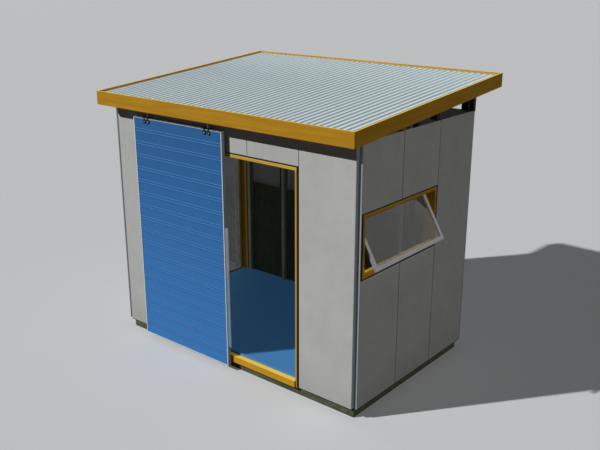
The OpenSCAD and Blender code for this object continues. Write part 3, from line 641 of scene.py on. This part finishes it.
# Painted light and shade: a bright stripe along each rib, painted shade between, paler towards the back
# and the left.
off_valley = (((finish.axis(0) + sheet_edge) * (1 / rib) + 0.455).part() - 0.5).size() * 2
painted_rib_light = 1 - off_valley.rise(0.47, 0.88)
fade = 0.4 * runs + 0.4 * cloud + 0.2 * speck
painted_shade_colour = finish.mix(fade, paint(124, 139, 145), paint(144, 159, 165))
painted_shade_eased = finish.axis(1).rise(0.0, 1.2) + 0.35 * (1 - finish.axis(0).rise(-1.2, 0.2))
painted_shade_colour = finish.mix(painted_shade_eased * 0.75, painted_shade_colour, paint(180, 196, 203))
bright = finish.mix(fade, paint(232, 249, 253), paint(244, 255, 255))
finish.bump(speck, 0.0001)
skin = finish.finish(finish.mix(painted_rib_light, painted_shade_colour, bright), 0.42 + 0.16 * runs)
stand_in("roof_sheet", 0, skin, "roof_metal", smooth=50)

# Self-drilling screws on rubber washers go through every third rib into the purlins.
fall = radians(4.7)
back_edge, back_crest = 1.313, 2.8131
square_to_sheet = (0, -sin(fall), cos(fall))
work = bmesh.new()
for y in (-1.055, -0.4713, 0.1125, 0.6962, 1.28):
    for count in range(1, ribs, 3):
        crest = (-sheet_edge + rib * (count + 0.5), y, back_crest - (back_edge - y) * tan(fall))
        head(work, crest, square_to_sheet, 0.007, 0.0015, sides=12, crown=0.9)
        head(work, crest, square_to_sheet, 0.004, 0.005, sides=6, crown=1.0)
finish = Finish("Screw zinc", 0.3, Metallic=0.2)
dulled = finish.noise(90, 3)
zinc = finish.finish(finish.mix(dulled, paint(190, 200, 204), paint(214, 224, 228)),
                     0.4 + 0.2 * dulled)
show("roof_screws", whole(work, "roof_screws"), zinc, "shed", "wheel_steel")


# ---- Eave boards ----
# Planed boards in the same ochre stain close the ends of the rafters and the two
# rakes. They are pinned, and the pins are sunk and filled in the colour of the stain.

stand_in("front_fascia", 0.0025, frame_level, "ochre_timber")
stand_in("back_fascia", 0.0025, frame_level, "ochre_timber")
stand_in("barge_boards", 0.0025, frame_rearward, "ochre_timber")


# ---- Door track ----
# A rolled steel channel screwed up through a tapered packer, level over the doorway
# and the wall beside it, with a rubber stop in each end.

stand_in("track_packer", 0.001, timber("Pine, packer", 0, **pine), "pine")
finish = Finish("Track steel", Metallic=0.85)
drawn = finish.noise(120, 3, (0.03, 1.0, 1.0))
steel = finish.finish(finish.mix(drawn, paint(70, 72, 75), paint(102, 104, 107)),
                      0.35 + 0.2 * drawn)
stand_in("door_track", 0.0004, steel, "track_steel", steps=1)

finish = Finish("Stop rubber", Roughness=0.85)
bloom = finish.noise(80, 3)
finish.bump(bloom, 0.0003)
buffer = finish.finish(finish.mix(bloom, paint(24, 24, 24), paint(44, 44, 43)))
stand_in("track_stops", 0.002, buffer, "stop_rubber")


# ---- Sliding leaf ----
# Blue boards with a pair of raised ribs over each joint, framed behind in dark-stained
# pine and edged all round with thin pale aluminium, with painted shade on its sides. The
# boards are painted lighter towards the foot, with painted light on upward faces and
# painted shadows under the ribs. A clear strip closes the leading edge; a little of the
# floor's blue is painted on its foot as a painted reflection.

finish = Finish("Blue door paint", 0.2)
brush = finish.noise(110, 3, (0.05, 1.0, 1.0), rough=0.6)
cloud = finish.noise(2.2, 3)
leaf_foot, rib_apart = 0.053, 0.026
height = finish.axis(2)
# Painted light: the boards are painted paler towards the foot.
painted_light_to_foot = 1 - height.rise(0.0, 2.6)
colour = finish.mix(0.35 * brush + 0.35 * cloud, paint(36, 92, 147), paint(46, 100, 156))
colour = finish.mix(painted_light_to_foot, colour, paint(58, 123, 189))
board = 2.349 / 18
off_joint = (((height - leaf_foot) * (1 / board) + 0.5).part() - 0.5) * board
off_rib = ((off_joint + 0.0025).size() - rib_apart / 2).size()
# Painted shadow: a dark line under each rib.
painted_rib_shadow = (1 - off_rib.rise(0.002, 0.004)) * painted_light_to_foot
# Painted light on upward faces: darker near the foot, a highlight near the top.
painted_upward_light = finish.facing(2).rise(0.3, 0.8)
colour = finish.mix(painted_upward_light * painted_light_to_foot, colour, paint(44, 94, 156))
colour = finish.mix(painted_upward_light * (1 - painted_light_to_foot), colour, paint(66, 134, 198))
colour = finish.mix(painted_rib_shadow * 1.4, colour, paint(14, 64, 124))
finish.bump(brush, 0.0003)
door_paint = finish.finish(colour, 0.5 + 0.12 * brush)
stand_in("door_boards", 0.0006, door_paint, "door_blue", "door", steps=1, corner=20)

finish = Finish("Pale aluminium", Metallic=0.15)
drawn = finish.noise(160, 3, (1.0, 1.0, 0.05))
# Painted light and shade: faces turned to the front or up are painted bright, the sides painted in
# shade.
rubbed = (finish.facing(1) * -1).top(finish.facing(2)).rise(0.5, 0.9)
painted_shade_colour = finish.mix(drawn, paint(130, 135, 140), paint(150, 155, 160))
bright = finish.mix(drawn, paint(204, 216, 222), paint(220, 231, 236))
edging = finish.finish(finish.mix(rubbed, painted_shade_colour, bright), 0.45 + 0.15 * drawn)
stand_in("door_side_trims", 0.001, edging, "door_trim", "door")
stand_in("door_end_trims", 0.001, edging, "door_trim", "door")

frame_stain = {"pale": paint(74, 70, 56), "deep": paint(50, 47, 38)}
stiles = timber("Stained pine, leaf stiles", 2, **frame_stain)
rails = timber("Stained pine, leaf rails", 0, **frame_stain)
stand_in("door_stiles", 0.002, stiles, "pine", "door")
stand_in("door_rails", 0.002, rails, "pine", "door")

finish = Finish("Clear strip", Roughness=0.25)
haze = finish.noise(20, 4, (1.0, 1.0, 0.2))
finish.set(finish.surface, {"Alpha": 0.5 + 0.15 * haze})
# Painted reflection: the foot of the strip is painted with the floor's blue.
painted_floor_reflection = finish.mix(finish.axis(2).rise(1.0, 1.1), paint(110, 142, 170), paint(148, 150, 155))
colour = finish.mix(haze, painted_floor_reflection, finish.mix(0.15, painted_floor_reflection, (1, 1, 1, 1)))
stand_in("door_edge_strip", 0.0008, finish.finish(colour), "strip_clear", "door")


# ---- Hangers ----
# Black-painted steel: a strap over the top of the leaf, a plated bolt up into a trolley
# on four wheels, and on the face two dished clamp washers with bright bolt heads.

finish = Finish("Black steel", Metallic=0.3)
worn = finish.noise(60, 4)
colour = finish.mix(worn, paint(16, 17, 19), paint(40, 42, 46))
plated = finish.axis(2).rise(2.411, 2.413)
colour = finish.mix(plated, colour, finish.mix(worn, paint(140, 143, 146), paint(162, 165, 168)))
black = finish.finish(colour, 0.4 + 0.2 * worn)
stand_in("door_hangers", 0.0008, black, "black_steel", "door", steps=1)
finish = Finish("Wheel steel", Metallic=0.9)
tread = finish.noise(200, 2)
wheels = finish.finish(finish.mix(tread, paint(170, 172, 176), paint(205, 207, 210)),
                       0.25 + 0.2 * tread)
stand_in("door_rollers", 0.0005, wheels, "wheel_steel", "door", steps=1, smooth=40)
stand_in("hanger_washers", 0.0008, black, "black_steel", "door", smooth=40)

leg_out, bolt_at = 0.028, (-0.9985, 2.3697)
work = bmesh.new()
for middle in (-0.992, -0.148):
    for x in (middle - leg_out, middle + leg_out):
        head(work, (x, *bolt_at), (0, -1, 0), 0.006, 0.0045, sides=6, crown=0.94)
finish = Finish("Bright zinc", 0.3, Metallic=0.3)
brushed = finish.noise(400, 2)
bright = finish.finish(finish.mix(brushed, paint(168, 182, 196), paint(192, 205, 218)),
                       0.45 + 0.1 * brushed)
show("hanger_bolts", whole(work, "hanger_bolts"), bright, "door", "wheel_steel")


# ---- Stage: floor, light and camera ----
# A plain pale floor, a key lamp high on the left, a weak even sky, and a fill lamp from
# behind on the right that casts no shadow and so reaches into the room. Sky and floor show
# pale to the eye, to glass and to metal, and light the shed much less than that.

work = bmesh.new()
bmesh.ops.create_grid(work, x_segments=1, y_segments=1, size=140.0)
bmesh.ops.translate(work, verts=work.verts, vec=(0, 0, cad_box[0][2] - 0.001))
ground = bpy.data.objects.new("stage_floor", whole(work, "stage_floor"))
bpy.context.scene.collection.objects.link(ground)
finish = Finish("Stage floor", Roughness=0.9)
rays = finish.node("ShaderNodeLightPath")
seen = (Tone(finish, rays.outputs["Is Camera Ray"]).top(rays.outputs["Is Glossy Ray"])
        .top(rays.outputs["Is Transmission Ray"]))
shaded = finish.mix(seen, (0.035, 0.035, 0.035, 1), (0.66, 0.67, 0.68, 1))
ground.data.materials.append(finish.finish(shaded))

world = bpy.data.worlds.new("Sky")
bpy.context.scene.world = world
world.use_nodes = True
tree = world.node_tree
rays = tree.nodes.new("ShaderNodeLightPath")
seen = rays.outputs["Is Camera Ray"]
for ray in ("Is Glossy Ray", "Is Transmission Ray"):
    either = tree.nodes.new("ShaderNodeMath")
    either.operation = "MAXIMUM"
    tree.links.new(seen, either.inputs[0])
    tree.links.new(rays.outputs[ray], either.inputs[1])
    seen = either.outputs[0]
level = tree.nodes.new("ShaderNodeMix")
level.data_type = "RGBA"
level.inputs[6].default_value = (0.034, 0.035, 0.037, 1)
level.inputs[7].default_value = (0.60, 0.61, 0.62, 1)
tree.links.new(seen, level.inputs[0])
tree.links.new(level.outputs[2], tree.nodes["Background"].inputs["Color"])


def lamp(name, strength, spread, towards):
    """A lamp like the sun, its light travelling along towards."""
    sun = bpy.data.lights.new(name, "SUN")
    sun.energy = strength
    sun.angle = radians(spread)
    holder = bpy.data.objects.new(name, sun)
    holder.rotation_euler = Vector(towards).to_track_quat("-Z", "Y").to_euler()
    bpy.context.scene.collection.objects.link(holder)
    return sun


lamp("Key", 3.4, 1.0, (0.511, 0.665, -0.545))
lamp("Fill", 0.7, 20.0, (-0.66, -0.48, -0.58)).use_shadow = False

lens = bpy.data.cameras.new("Camera")
lens.lens = 48.18
camera = bpy.data.objects.new("Camera", lens)
camera.location = (5.134, -6.013, 3.865)
camera.rotation_euler = (radians(71.782), 0, radians(39.744))
bpy.context.scene.collection.objects.link(camera)
bpy.context.scene.camera = camera
bpy.context.scene.view_settings.view_transform = "Standard"

bpy.context.view_layer.update()
